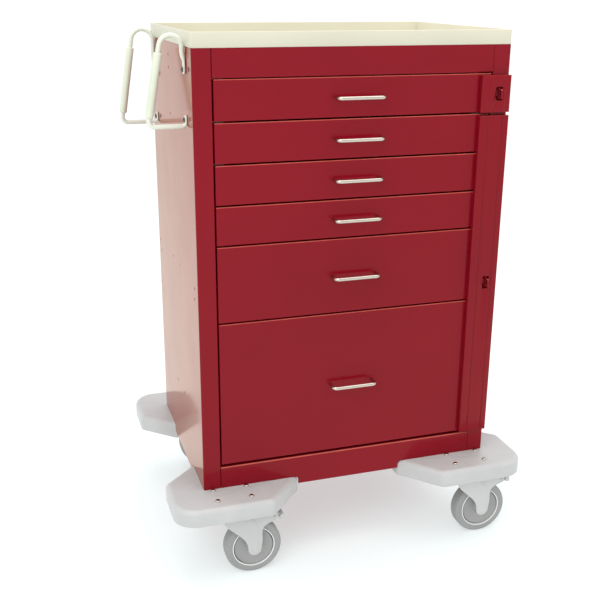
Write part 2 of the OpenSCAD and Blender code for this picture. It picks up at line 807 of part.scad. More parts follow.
left_side_panel();
right_side_panel();
back_panel();
base_pan();
top_deck();
top_rail();
bottom_rail();
top_tray();
bumper(-1, -1);  // bumper_front_left
bumper(1, -1);  // bumper_front_right
bumper(-1, 1);  // bumper_rear_left
bumper(1, 1);  // bumper_rear_right
outriggers();
caster_plates();
caster_bolts();
slide_posts();
fixed_slide_rails();
push_handle(0);  // push_handle_front
push_handle(1);  // push_handle_rear
handle_grips();
handle_screws();
lock_hinge_leaves();
lock_hinge_pins();
seal_staples();
lock_flap();
lock_bar();
middle_rails(5);  // middle_rails_5
middle_rails(6);  // middle_rails_6
drawer_front(1);  // drawer_1_front
drawer_box(1);  // drawer_1_box
drawer_pull(1);  // drawer_1_pull
drawer_front(2);  // drawer_2_front
drawer_box(2);  // drawer_2_box
drawer_pull(2);  // drawer_2_pull
drawer_front(3);  // drawer_3_front
drawer_box(3);  // drawer_3_box
drawer_pull(3);  // drawer_3_pull
drawer_front(4);  // drawer_4_front
drawer_box(4);  // drawer_4_box
drawer_pull(4);  // drawer_4_pull
drawer_front(5);  // drawer_5_front
drawer_box(5);  // drawer_5_box
drawer_pull(5);  // drawer_5_pull
drawer_front(6);  // drawer_6_front
drawer_box(6);  // drawer_6_box
drawer_pull(6);  // drawer_6_pull
at_caster(-1, -1) fork(true);  // fork_front_left
at_caster(-1, -1) wheel();  // wheel_front_left
at_caster(-1, -1) tyre();  // tyre_front_left
at_caster(1, -1) fork(true);  // fork_front_right
at_caster(1, -1) wheel();  // wheel_front_right
at_caster(1, -1) tyre();  // tyre_front_right
at_caster(-1, 1) fork(false);  // fork_rear_left
at_caster(-1, 1) wheel();  // wheel_rear_left
at_caster(-1, 1) tyre();  // tyre_rear_left
at_caster(1, 1) fork(false);  // fork_rear_right
at_caster(1, 1) wheel();  // wheel_rear_right
at_caster(1, 1) tyre();  // tyre_rear_right
brake_pedal(-1);  // brake_pedal_left
brake_pedal(1);  // brake_pedal_right
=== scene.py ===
"""Crash cart: materials, smooth moulded pieces, camera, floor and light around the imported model.

Metres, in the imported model's frame: +Z up, the drawers open towards -Y, the push handles are on
the -X side. MM turns a drawing dimension in millimetres into metres.
"""

import json
import math

import bmesh
import bpy
from mathutils import Matrix, Vector


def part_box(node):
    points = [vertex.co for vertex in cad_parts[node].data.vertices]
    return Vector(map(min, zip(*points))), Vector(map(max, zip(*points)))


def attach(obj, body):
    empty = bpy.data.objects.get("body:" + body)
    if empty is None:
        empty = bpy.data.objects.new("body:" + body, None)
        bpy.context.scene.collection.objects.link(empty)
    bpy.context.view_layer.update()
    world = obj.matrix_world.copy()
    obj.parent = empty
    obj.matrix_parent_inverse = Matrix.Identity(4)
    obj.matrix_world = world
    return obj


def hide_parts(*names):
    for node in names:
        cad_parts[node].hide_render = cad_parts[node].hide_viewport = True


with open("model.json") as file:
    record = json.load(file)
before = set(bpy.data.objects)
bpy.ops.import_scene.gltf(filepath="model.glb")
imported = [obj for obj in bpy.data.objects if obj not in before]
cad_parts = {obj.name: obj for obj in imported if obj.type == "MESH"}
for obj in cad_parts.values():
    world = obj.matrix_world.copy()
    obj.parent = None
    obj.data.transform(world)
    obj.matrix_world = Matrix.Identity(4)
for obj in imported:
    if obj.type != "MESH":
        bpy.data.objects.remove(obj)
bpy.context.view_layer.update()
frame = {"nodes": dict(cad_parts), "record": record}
nodes = frame["nodes"]
body_of_node = {n: b for b, ns in frame["record"]["behaviour"]["bodies"].items() for n in ns}
slot_of_node = {p["node"]: p["material_slot"] for p in frame["record"]["subparts"]}
MM = 0.001


# ---- camera, floor and light ----
def make_camera():
    data = bpy.data.cameras.new("camera")
    data.sensor_width = 36
    data.lens = 55.6
    data.clip_start = 0.05
    data.clip_end = 500
    camera = bpy.data.objects.new("camera", data)
    heading, pitch, roll = (math.radians(a) for a in (-17.848, 71.361, 0.375))
    turn = (
        Matrix.Rotation(heading, 4, "Z")
        @ Matrix.Rotation(pitch, 4, "X")
        @ Matrix.Rotation(roll, 4, "Z")
    )
    camera.matrix_world = Matrix.Translation((-0.6723, -1.9520, 1.2123)) @ turn
    bpy.context.scene.collection.objects.link(camera)
    bpy.context.scene.camera = camera


def make_floor():
    half = 120
    mesh = bpy.data.meshes.new("floor")
    corners = [(-half, -half, 0), (half, -half, 0), (half, half, 0), (-half, half, 0)]
    mesh.from_pydata(corners, [], [(0, 1, 2, 3)])
    floor = bpy.data.objects.new("floor", mesh)
    bpy.context.scene.collection.objects.link(floor)
    floor.data.materials.append(floor_material())


def floor_material():
    mat = bpy.data.materials.new("pale_floor")
    mat.use_nodes = True
    shader = mat.node_tree.nodes["Principled BSDF"]
    shader.inputs["Base Color"].default_value = (0.56, 0.62, 0.62, 1)
    shader.inputs["Emission Color"].default_value = (1, 1, 1, 1)
    shader.inputs["Emission Strength"].default_value = 0.43
    shader.inputs["Roughness"].default_value = 0.55
    shader.inputs["Specular IOR Level"].default_value = 0.15
    return mat


def area_light(name, place, target, size, power):
    data = bpy.data.lights.new(name, "AREA")
    data.shape = "RECTANGLE"
    data.size, data.size_y = size
    data.energy = power
    light = bpy.data.objects.new(name, data)
    aim = (Vector(target) - Vector(place)).to_track_quat("-Z", "Y").to_matrix().to_4x4()
    light.matrix_world = Matrix.Translation(place) @ aim
    bpy.context.scene.collection.objects.link(light)


def make_light():
    world = bpy.data.worlds.new("studio")
    world.use_nodes = True
    background = world.node_tree.nodes["Background"]
    background.inputs["Color"].default_value = (1, 1, 1, 1)
    background.inputs["Strength"].default_value = 1.0
    bpy.context.scene.world = world
    area_light("key", (-2.2, -2.4, 2.9), (0, 0, 0.6), (2.4, 2.0), 36)
    area_light("top", (0.3, 0.0, 3.4), (0, 0, 0.5), (3.0, 3.0), 45)
    bpy.context.scene.view_settings.view_transform = "Standard"


# ---- materials ----
class Nodes:
    """A material's node tree, with short calls for the nodes that the finishes share."""

    def __init__(self, name):
        self.material = bpy.data.materials.new(name)
        self.material.use_nodes = True
        self.tree = self.material.node_tree
        self.shader = self.tree.nodes["Principled BSDF"]
        self.place = self.add("ShaderNodeTexCoord").outputs["Object"]

    def add(self, kind, **values):
        node = self.tree.nodes.new(kind)
        for key, value in values.items():
            setattr(node, key, value)
        return node

    def join(self, source, target):
        self.tree.links.new(source, target)

    def set(self, **values):
        for key, value in values.items():
            self.shader.inputs[key.replace("_", " ")].default_value = value

    def noise(self, scale, detail=2.0, stretch=None):
        node = self.add("ShaderNodeTexNoise")
        node.inputs["Scale"].default_value = scale
        node.inputs["Detail"].default_value = detail
        source = self.place
        if stretch:
            mapping = self.add("ShaderNodeMapping")
            mapping.inputs["Scale"].default_value = stretch
            self.join(source, mapping.inputs["Vector"])
            source = mapping.outputs["Vector"]
        self.join(source, node.inputs["Vector"])
        return node.outputs["Fac"]

    def painted_highlight_on_bends(self, paint, highlight_colour):
        """Painted highlight: a paler colour on faces that lean back between upright and level, standing
        in for the light that a sheet's upper bend catches; paint elsewhere.
        """
        split = self.add("ShaderNodeSeparateXYZ")
        geometry = self.add("ShaderNodeNewGeometry")
        self.join(geometry.outputs["True Normal"], split.inputs["Vector"])
        dark, pale = (0.0, 0.0, 0.0), (1.0, 1.0, 1.0)
        stops = [(0.1, dark), (0.3, pale), (0.85, pale), (0.97, dark)]
        mix = self.add("ShaderNodeMixRGB")
        self.join(self.ramp(split.outputs["Z"], stops), mix.inputs["Fac"])
        self.join(paint, mix.inputs["Color1"])
        # the painted highlight's colour, varied a little by noise
        tone = self.ramp(self.noise(40, 2), [(0.3, scaled(highlight_colour, 0.85)), (0.7, scaled(highlight_colour, 1.1))])
        self.join(tone, mix.inputs["Color2"])
        return mix.outputs["Color"]

    def cells(self, scale):
        node = self.add("ShaderNodeTexVoronoi")
        node.inputs["Scale"].default_value = scale
        self.join(self.place, node.inputs["Vector"])
        return node.outputs["Color"]

    def ramp(self, source, stops):
        node = self.add("ShaderNodeValToRGB")
        ramp = node.color_ramp
        while len(ramp.elements) < len(stops):
            ramp.elements.new(0.5)
        for element, (position, colour) in zip(ramp.elements, stops):
            element.position = position
            element.color = (*colour, 1)
        self.join(source, node.inputs["Fac"])
        return node.outputs["Color"]

    def span(self, source, low, high):
        """The source's middle values spread from low to high."""
        node = self.add("ShaderNodeMapRange")
        node.inputs["From Min"].default_value = 0.3
        node.inputs["From Max"].default_value = 0.7
        node.inputs["To Min"].default_value = low
        node.inputs["To Max"].default_value = high
        self.join(source, node.inputs["Value"])
        return node.outputs["Result"]

    def bump(self, source, depth_mm, strength, below=None):
        node = self.add("ShaderNodeBump")
        node.inputs["Distance"].default_value = depth_mm * MM
        node.inputs["Strength"].default_value = strength
        self.join(source, node.inputs["Height"])
        if below:
            self.join(below, node.inputs["Normal"])
        return node.outputs["Normal"]

    def colour(self, source):
        self.join(source, self.shader.inputs["Base Color"])

    def roughness(self, source):
        self.join(source, self.shader.inputs["Roughness"])

    def normal(self, source):
        self.join(source, self.shader.inputs["Normal"])


def scaled(colour, factor):
    return tuple(c * factor for c in colour)


def enamel(name, colour, rough, ior, peel, coat=0.0, tint=(1, 1, 1), highlight_colour=None):
    """Baked paint: nearly even colour, soft orange peel, smears in the gloss. A clear coat adds
    its own reflection, which grows strong on faces seen edge-on. The optional paler colour is a
    painted highlight on faces that lean back, standing in for the light line along a sheet's upper bend."""
    n = Nodes(name)
    paint = n.ramp(n.noise(2.2, 3), [(0.3, scaled(colour, 0.93)), (0.7, scaled(colour, 1.07))])
    # painted highlight: a paler colour on faces that lean back, standing in for light on the upper bends
    n.colour(n.painted_highlight_on_bends(paint, highlight_colour) if highlight_colour else paint)
    n.roughness(n.span(n.noise(9, 4), rough * 0.85, rough * 1.25))
    n.normal(n.bump(n.noise(420, 1), 0.02, peel, n.bump(n.noise(60, 1), 0.05, peel)))
    n.set(IOR=ior, Coat_Weight=coat, Coat_IOR=ior, Coat_Roughness=rough * 0.45)
    n.set(Coat_Tint=(*tint, 1))
    return n.material


def moulded(name, colour, rough, grain, peel):
    """Moulded plastic or rubber with a fine grain."""
    n = Nodes(name)
    n.colour(n.ramp(n.noise(14, 4), [(0.3, scaled(colour, 0.95)), (0.7, scaled(colour, 1.05))]))
    n.roughness(n.span(n.noise(30, 3), rough * 0.88, min(1.0, rough * 1.15)))
    n.normal(n.bump(n.noise(grain, 2), 0.05, peel))
    n.set(IOR=1.46)
    return n.material


def galvanised(name, colour):
    """Zinc-plated sheet with faint crystal spangle and rolling marks."""
    n = Nodes(name)
    n.colour(n.ramp(n.cells(90), [(0.1, scaled(colour, 0.86)), (0.9, scaled(colour, 1.1))]))
    n.roughness(n.span(n.noise(40, 3), 0.34, 0.48))
    n.normal(n.bump(n.noise(300, 2, (1, 0.05, 1)), 0.02, 0.25))
    n.set(Metallic=1.0)
    return n.material


def plated(name, colour):
    """Bright chrome with fine polishing lines."""
    n = Nodes(name)
    n.colour(n.ramp(n.noise(25, 3), [(0.3, scaled(colour, 0.94)), (0.7, scaled(colour, 1.0))]))
    n.roughness(n.span(n.noise(160, 3, (1, 0.2, 0.2)), 0.1, 0.2))
    n.normal(n.bump(n.noise(700, 1), 0.01, 0.08))
    n.set(Metallic=1.0)
    return n.material


def make_materials():
    return {
        "red_enamel": enamel(
            "red_enamel", (0.222, 0.0036, 0.02), 0.2, 1.2, 0.035, 0.9, (1, 0.8, 0.58),
            # painted highlight: pale red on faces that lean back, standing in for light along the upper
            # bends
            highlight_colour=(0.5, 0.12, 0.12),
        ),
        "cream_enamel": enamel("cream_enamel", (0.65, 0.62, 0.49), 0.33, 1.4, 0.05),
        "handle_enamel": enamel("handle_enamel", (0.72, 0.74, 0.63), 0.3, 1.42, 0.04),
        "grip_plastic": moulded("grip_plastic", (0.66, 0.69, 0.56), 0.55, 500, 0.25),
        "bumper_plastic": moulded("bumper_plastic", (0.51, 0.51, 0.505), 0.34, 380, 0.1),
        "zinc_steel": galvanised("zinc_steel", (0.46, 0.47, 0.48)),
        "chrome": plated("chrome", (0.6, 0.54, 0.47)),
        "dark_screw": plated("dark_screw", (0.12, 0.12, 0.12)),
        "fork_paint": enamel("fork_paint", (0.53, 0.53, 0.52), 0.36, 1.45, 0.07),
        "wheel_core": moulded("wheel_core", (0.335, 0.33, 0.325), 0.5, 450, 0.12),
        "tyre_rubber": moulded("tyre_rubber", (0.31, 0.31, 0.305), 0.62, 350, 0.2),
        "rim_ring": moulded("rim_ring", (0.82, 0.82, 0.81), 0.35, 450, 0.06),
        # painted shade: flat near-black for the walls and floors of screw sockets and the wheels' narrow
        # grooves, where shade falls
        "painted_shade": moulded("painted_shade", (0.03, 0.03, 0.03), 0.6, 300, 0.1),
    }


# ---- mesh helpers ----
def make_piece(name, points, faces, slot, body, replaced=(), sharp=40, extra=(), which=None):
    """A smooth-shaded piece on a body, with its slot's material. extra are further materials,
    and which gives the material number of each face."""
    mesh = bpy.data.meshes.new(name)
    mesh.from_pydata([tuple(p) for p in points], [], faces)
    mesh.validate()
    piece = bpy.data.objects.new(name, mesh)
    bpy.context.scene.collection.objects.link(piece)
    for key in (slot, *extra):
        mesh.materials.append(MATERIALS[key])
    if which:
        mesh.polygons.foreach_set("material_index", which)
    mesh.shade_smooth()
    mesh.set_sharp_from_angle(angle=math.radians(sharp))
    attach(piece, body)
    if replaced:
        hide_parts(*replaced)
    return piece


class Shell:
    """Points and faces of a mesh under construction."""

    def __init__(self):
        self.points = []
        self.faces = []
        self.kinds = []

    def ring(self, points):
        start = len(self.points)
        self.points.extend(points)
        return range(start, start + len(points))

    def face(self, face, kind=0):
        self.faces.append(tuple(face))
        self.kinds.append(kind)

    def bridge(self, a, b, kind=0, closed=True):
        n = len(a)
        for i in range(n if closed else n - 1):
            j = (i + 1) % n
            self.face((a[i], a[j], b[j], b[i]), kind)

    def loft(self, rings, first_cap=True, last_cap=True, kinds=None):
        """Rings of equal length joined in turn; the normals follow the rings' right-hand turn."""
        spans = [self.ring(r) for r in rings]
        for k in range(len(spans) - 1):
            self.bridge(spans[k], spans[k + 1], kinds[k] if kinds else 0)
        if first_cap:
            self.face(reversed(spans[0]), kinds[0] if kinds else 0)
        if last_cap:
            self.face(spans[-1], kinds[-1] if kinds else 0)
        return spans

    def outward(self):
        """Turns every face so that the closed mesh's normals point out."""
        bm = bmesh.new()
        verts = [bm.verts.new(p) for p in self.points]
        bm.verts.index_update()
        made = [bm.faces.new([verts[i] for i in f]) for f in self.faces]
        bmesh.ops.recalc_face_normals(bm, faces=made)
        self.faces = [tuple(v.index for v in f.verts) for f in made]
        bm.free()
        return self


def arc(centre, radius, start, end, steps):
    """Points on an arc in a plane, angles in degrees."""
    angles = [math.radians(start + (end - start) * i / steps) for i in range(steps + 1)]
    return [Vector((centre[0] + radius * math.cos(a), centre[1] + radius * math.sin(a))) for a in angles]


def inset(outline, distance):
    """A closed outline, counter-clockwise, moved inwards by distance along its own normals."""
    moved = []
    count = len(outline)
    for i, point in enumerate(outline):
        before = (point - outline[i - 1]).normalized()
        after = (outline[(i + 1) % count] - point).normalized()
        normal = Vector((-before.y - after.y, before.x + after.x)).normalized()
        reach = distance / max(0.35, normal.dot(Vector((-after.y, after.x))))
        moved.append(point + normal * reach)
    return moved


def lathe(profile, steps=96):
    """Rings round the Y axis from [radius, along] points in a closed profile."""
    rings = []
    for radius, along in profile:
        rings.append([
            Vector((radius * math.cos(a), along, radius * math.sin(a)))
            for a in (2 * math.pi * i / steps for i in range(steps))
        ])
    return rings


def bent_path(corners, radii, step=9):
    """A path in a plane with each inner corner rounded by its radius; step is in degrees."""
    path = [corners[0]]
    for i in range(1, len(corners) - 1):
        u = (corners[i] - corners[i - 1]).normalized()
        v = (corners[i + 1] - corners[i]).normalized()
        turn = math.atan2(u.x * v.y - u.y * v.x, u.dot(v))
        side = math.copysign(1, turn)
        radius = radii[i - 1]
        centre = corners[i] - u * radius * math.tan(abs(turn) / 2) + side * radius * Vector((-u.y, u.x))
        start = math.degrees(math.atan2(side * -u.x, side * u.y))
        steps = max(2, round(abs(math.degrees(turn)) / step))
        path.extend(arc(centre, radius, start, start + math.degrees(turn), steps))
    path.append(corners[-1])
    return path


def soften(node, width, steps=2, sharp=32, extra=None):
    """A copy of a CAD node whose sharp edges are rounded by width, in place of the node. extra is
    a shell that is added to it."""
    source = nodes[node].data
    bm = bmesh.new()
    bm.from_mesh(source)
    bmesh.ops.remove_doubles(bm, verts=bm.verts, dist=0.002 * MM)
    flat = math.radians(0.6)
    bmesh.ops.dissolve_limit(bm, angle_limit=flat, verts=bm.verts, edges=bm.edges)
    limit = math.radians(sharp)
    edges = [e for e in bm.edges if len(e.link_faces) == 2 and e.calc_face_angle(0) > limit]
    bmesh.ops.bevel(
        bm, geom=edges, offset=width, offset_type="OFFSET", segments=steps, profile=0.5,
        affect="EDGES", clamp_overlap=False, miter_outer="ARC", harden_normals=False,
    )
    bmesh.ops.triangulate(bm, faces=[f for f in bm.faces if len(f.verts) > 4])
    if extra:
        verts = [bm.verts.new(p) for p in extra.points]
        for face in extra.faces:
            bm.faces.new([verts[i] for i in face])
    mesh = bpy.data.meshes.new(node + "_soft")
    bm.to_mesh(mesh)
    bm.free()
    piece = bpy.data.objects.new(node + "_soft", mesh)
    bpy.context.scene.collection.objects.link(piece)
    mesh.materials.clear()
    mesh.materials.append(MATERIALS[slot_of_node[node]])
    mesh.shade_smooth()
    mesh.set_sharp_from_angle(angle=math.radians(40))
    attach(piece, body_of_node[node])
    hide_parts(node)
    return piece


# ---- cabinet pieces ----
def round_rect(half_x, half_y, radius, steps=8):
    """A counter-clockwise rectangle about the origin with rounded corners."""
    outline = []
    for sx, sy, start in ((1, 1, 0), (-1, 1, 90), (-1, -1, 180), (1, -1, 270)):
        centre = (sx * (half_x - radius), sy * (half_y - radius))
        outline.extend(arc(centre, radius, start, start + 90, steps))
    return outline


def at_height(outline, z):
    return [Vector((p.x, p.y, z)) for p in outline]


def tray():
    """The top tray: a rounded hem round the rim and a fillet where the wall meets the floor."""
    lo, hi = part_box("top_tray")
    half_x, half_y = hi.x, hi.y
    rim = 3 * MM
    hem = rim / 2
    floor = lo.z + 1.5 * MM
    fillet = 4 * MM
    corner = 4.5 * MM
    section = [Vector((0.6 * MM, lo.z)), Vector((0, lo.z + 0.6 * MM))]
    section += [Vector((hem - p.x, hi.z - hem + p.y)) for p in arc((0, 0), hem, 0, 180, 8)]
    section += [
        Vector((rim + fillet - p.x, floor + fillet - p.y)) for p in arc((0, 0), fillet, 0, 90, 5)
    ]
    rings = []
    for inwards, z in section:
        radius = max(0.8 * MM, corner - min(inwards, rim))
        rings.append(at_height(round_rect(half_x - inwards, half_y - inwards, radius), z))
    shell = Shell()
    shell.loft(rings)
    return make_piece(
        "tray", shell.points, shell.faces, "cream_enamel", "cabinet", ["top_tray"], sharp=50
    )


# ---- bumpers ----
def bumper_outline():
    """Plan of the front-right bumper's mirror image in the quarter +X, +Y, counter-clockwise."""
    inner_x, inner_y, edge_x, edge_y = 119, 104, 404, 310
    slope, corner, soft = 78, 50, 16
    cabinet = 330
    shift = soft * math.tan(math.radians(22.5))
    ease = 11.5
    outline = [Vector((cabinet - 60, inner_y)), Vector((cabinet, inner_y))]
    outline += arc((edge_x - soft, inner_y + slope - 8 + shift), soft, -45, 0, 6)
    outline += arc((edge_x - corner, edge_y - corner), corner, 0, 90, 16)
    outline += arc((inner_x + slope + shift, edge_y - soft), soft, 90, 135, 6)
    outline += arc((inner_x + ease, edge_y - slope - ease), ease, 150, 180, 4)
    outline += [Vector((inner_x, edge_y - slope - 36))]
    return [p * MM for p in outline]


def bumper(name, sx, sy):
    """A moulded cover with a soft shoulder, hollow below round the outrigger."""
    lo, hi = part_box(name)
    shoulder, wall, cover = 11 * MM, 6 * MM, 4 * MM
    section = [(wall, hi.z - cover), (wall, lo.z + MM), (wall - MM, lo.z), (1.5 * MM, lo.z)]
    section += [(0.4 * MM, lo.z + 0.6 * MM), (0, lo.z + 2 * MM)]
    section += [
        (shoulder - p.x, hi.z - shoulder + p.y)
        for p in arc((0, 0), shoulder, 0, 90, 9)
    ]
    outline = bumper_outline()
    rings = []
    for inwards, z in section:
        plan = inset(outline, inwards)
        rings.append([Vector((sx * p.x, sy * p.y, z)) for p in plan])
    shell = Shell()
    shell.loft(rings)
    shell.outward()
    return make_piece(
        name + "_cover", shell.points, shell.faces, "bumper_plastic", "cabinet", [name], sharp=55
    )


# ---- screws and bolts ----
def socket_head(shell, centre, axis, radius, height, width=0.42, kinds=(0, 1)):
    """A domed head with a hexagonal socket, its top at centre + axis * height. width is the
    socket's share of the head."""
    side = axis.orthogonal().normalized()
    across = axis.cross(side)
    steps = 24
    socket = radius * width
    depth = height * 0.7

    def ring(r, along, hexagon=False):
        points = []
        for i in range(steps):
            a = 2 * math.pi * i / steps
            reach = r
            if hexagon:
                part = (a % (math.pi / 3)) - math.pi / 6
                reach = r * math.cos(math.pi / 6) / math.cos(part)
            spoke = side * math.cos(a) + across * math.sin(a)
            points.append(centre + axis * along + spoke * reach)
        return points

    dome = [(radius, 0), (radius, height * 0.22)]
    dome += [
        (radius * (0.62 + 0.38 * math.cos(a)), height * (0.22 + 0.78 * math.sin(a)))
        for a in (math.pi / 2 * k / 6 for k in range(1, 7))
    ]
    rings = [ring(r, z) for r, z in dome]
    rings += [ring(socket, height, True), ring(socket, height - depth, True)]
    # the socket's rings take the second material, which every caller gives the near-black painted shade
    number = [kinds[0]] * (len(dome)) + [kinds[1]] * 2
    shell.loft(rings, first_cap=True, last_cap=True, kinds=number)


def rod_between(shell, start, end, radius, steps=20, chamfer=0.0, corners=False):
    """A plain or chamfered cylinder, or a hexagonal nut where corners is True."""
    axis = (end - start).normalized()
    side = axis.orthogonal().normalized()
    across = axis.cross(side)
    length = (end - start).length
    count = 6 if corners else steps

    def ring(r, along):
        angles = [2 * math.pi * i / count for i in range(count)]
        return [start + axis * along + side * r * math.cos(a) + across * r * math.sin(a) for a in angles]

    rings = [ring(radius, 0), ring(radius, length)]
    if chamfer:
        rings = [
            ring(radius - chamfer, 0), ring(radius, chamfer),
            ring(radius, length - chamfer), ring(radius - chamfer, length),
        ]
    shell.loft(rings)


def caster_bolts():
    """Four socket bolts with nuts at each corner, in one piece."""
    lo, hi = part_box("caster_bolts")
    spacing_x, spacing_y = 73 * MM, 44.5 * MM
    head, shank, nut = 5.3 * MM, 3.9 * MM, 6.4 * MM
    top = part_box("bumper_front_left")[1].z
    reach_x = hi.x - 5.3 * MM - spacing_x / 2
    reach_y = hi.y - 5.3 * MM - spacing_y / 2
    shell = Shell()
    for sx in (-1, 1):
        for sy in (-1, 1):
            for dx in (-0.5, 0.5):
                for dy in (-0.5, 0.5):
                    spot = Vector((sx * reach_x + dx * spacing_x, sy * reach_y + dy * spacing_y, 0))
                    up = Vector((0, 0, 1))
                    socket_head(shell, spot + up * top, up, head, hi.z - top)
                    rod_between(shell, spot + up * lo.z, spot + up * (top - MM), shank, 16, 0.4 * MM)
                    nut_z = lo.z + 1.5 * MM
                    rod_between(
                        shell, spot + up * nut_z, spot + up * (nut_z + 5.5 * MM), nut, 6, 0.5 * MM, True
                    )
    shell.outward()
    # the bolt sockets are painted near-black as shade
    return make_piece(
        "caster_bolt_set", shell.points, shell.faces, "chrome", "cabinet", ["caster_bolts"],
        sharp=35, extra=["painted_shade"], which=shell.kinds,
    )


# ---- push handles ----
class HandleShape:
    """Dimensions of a push handle, in metres out from the side panel and up from its lower rod.

    out comes from the node's box, which ends short of the bent rod's corner, so the rear handle
    stands about 2 mm closer to the cabinet than the CAD's.
    """

    def __init__(self, node):
        lo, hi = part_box(node)
        self.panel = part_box("left_side_panel")[0].x
        self.y = (lo.y + hi.y) / 2
        self.rod = 9.5 / 2 * MM
        self.base = lo.z + 5 * MM
        self.height = hi.z - self.rod - self.base
        self.out = self.panel - lo.x - self.rod
        front = node.endswith("front")
        self.arch_out = (45 if front else 49) * MM
        self.arch_radius = (21.4 if front else 23.6) * MM
        self.grip_start = (17 if front else 22) * MM
        self.grip_length = (123 if front else 143) * MM
        self.riser_out = 5.5 * MM
        self.screws = (12 * MM, 106.5 * MM)
        self.tab = 14 * MM

    def place(self, out, up, along=0.0):
        return Vector((self.panel - out, self.y + along, self.base + up))


def cross_section(half_n, half_w, boxy, steps=28):
    """Half sizes across and along, from an ellipse (boxy 0) to a rounded rectangle (boxy 1)."""
    power = 1 - 0.55 * boxy
    points = []
    for i in range(steps):
        a = 2 * math.pi * (i + 0.5) / steps
        c, s = math.cos(a), math.sin(a)
        points.append((
            half_n * math.copysign(abs(c) ** power, c), half_w * math.copysign(abs(s) ** power, s)
        ))
    return points


def push_handle(node):
    """The bent rod, pressed flat at both ends where the screws hold it."""
    h = HandleShape(node)
    low, high = h.screws
    tab_low = 2.1 * MM
    tab_high = 2.6 * MM
    corners = [
        Vector((tab_low, low + 9 * MM)), Vector((tab_low, 0)), Vector((h.out, 0)),
        Vector((h.arch_out, h.height)), Vector((h.riser_out, h.height)),
        Vector((h.riser_out, high + 32 * MM)), Vector((tab_high, high + 15 * MM)),
        Vector((tab_high, high - 9 * MM)),
    ]
    radii = [7.5 * MM, 12 * MM, h.arch_radius, h.arch_radius, 12 * MM, 12 * MM]
    path = spread(bent_path(corners, radii, 6), 2.2 * MM)
    flat_low = low - 3.5 * MM
    total = len(path)
    rings = []
    lengths = [0.0]
    for i in range(1, total):
        lengths.append(lengths[-1] + (path[i] - path[i - 1]).length)
    end = lengths[-1]
    low_flat = low + 9 * MM - flat_low
    high_flat = 22 * MM
    for i, point in enumerate(path):
        u = (path[min(i + 1, total - 1)] - path[max(i - 1, 0)]).normalized()
        normal = Vector((-u.y, u.x))
        from_low, from_high = lengths[i], end - lengths[i]
        near = min(from_low - low_flat, from_high - high_flat)
        flat = 1 - smooth(near / (13 * MM))
        half_n = h.rod + (1.9 * MM - h.rod) * flat
        half_w = h.rod + (h.tab / 2 - h.rod) * flat
        tip = min(from_low, from_high)
        if tip < h.tab / 2:
            gone = 1 - tip / (h.tab / 2)
            half_w *= max(0.12, math.sqrt(max(0.0, 1 - gone * gone)))
        ring = [
            h.place(point.x + normal.x * n, point.y + normal.y * n, w)
            for n, w in cross_section(half_n, half_w, flat)
        ]
        rings.append(ring)
    shell = Shell()
    shell.loft(rings)
    shell.outward()
    return make_piece(
        node + "_rod", shell.points, shell.faces, "handle_enamel", "cabinet", [node], sharp=60
    )


def smooth(t):
    t = min(1.0, max(0.0, t))
    return t * t * (3 - 2 * t)


def spread(path, gap):
    """The path with points added so that none are further apart than gap."""
    out = [path[0]]
    for a, b in zip(path, path[1:]):
        parts = max(1, math.ceil((b - a).length / gap))
        out.extend(a.lerp(b, k / parts) for k in range(1, parts + 1))
    return out


def handle_grips():
    """A soft vinyl sleeve on each handle's long leg, with rounded lips."""
    radius, bore, lip = 8 * MM, 4.85 * MM, 2.2 * MM
    shell = Shell()
    steps = 36
    for node in ("push_handle_front", "push_handle_rear"):
        h = HandleShape(node)
        length, start = h.grip_length, h.grip_start
        profile = [(bore, 0.0), (radius - lip, 0.0)]
        profile += [(radius - lip + p.x, lip + p.y) for p in arc((0, 0), lip, -90, 0, 5)]
        profile += [(radius - lip + p.x, length - lip + p.y) for p in arc((0, 0), lip, 0, 90, 5)]
        profile += [(bore, length)]
        foot = Vector((h.out, 0))
        up = (Vector((h.arch_out, h.height)) - foot).normalized()
        across = Vector((up.y, -up.x))
        rings = []
        for r, along in profile:
            ring = []
            for i in range(steps):
                a = 2 * math.pi * i / steps
                spot = foot + up * (start + along) + across * r * math.cos(a)
                ring.append(h.place(spot.x, spot.y, r * math.sin(a)))
            rings.append(ring)
        spans = shell.loft(rings, first_cap=False, last_cap=False)
        shell.bridge(spans[-1], spans[0])
    shell.outward()
    return make_piece(
        "handle_grip_sleeves", shell.points, shell.faces, "grip_plastic", "cabinet",
        ["handle_grips"], sharp=50,
    )


def handle_screws():
    """A socket screw through each flattened end of the handles."""
    shell = Shell()
    out = Vector((-1, 0, 0))
    for node in ("push_handle_front", "push_handle_rear"):
        h = HandleShape(node)
        for up, thick in zip(h.screws, (4 * MM, 5 * MM)):
            # dark_screw heads, with the sockets painted near-black as shade
            socket_head(shell, h.place(thick, up), out, 5 * MM, 3 * MM, 0.58, (2, 1))
            rod_between(shell, h.place(-6 * MM, up), h.place(thick + 0.5 * MM, up), 3 * MM)
    shell.outward()
    return make_piece(
        "handle_screw_set", shell.points, shell.faces, "chrome", "cabinet", ["handle_screws"],
        sharp=35, extra=["painted_shade", "dark_screw"], which=shell.kinds,
    )


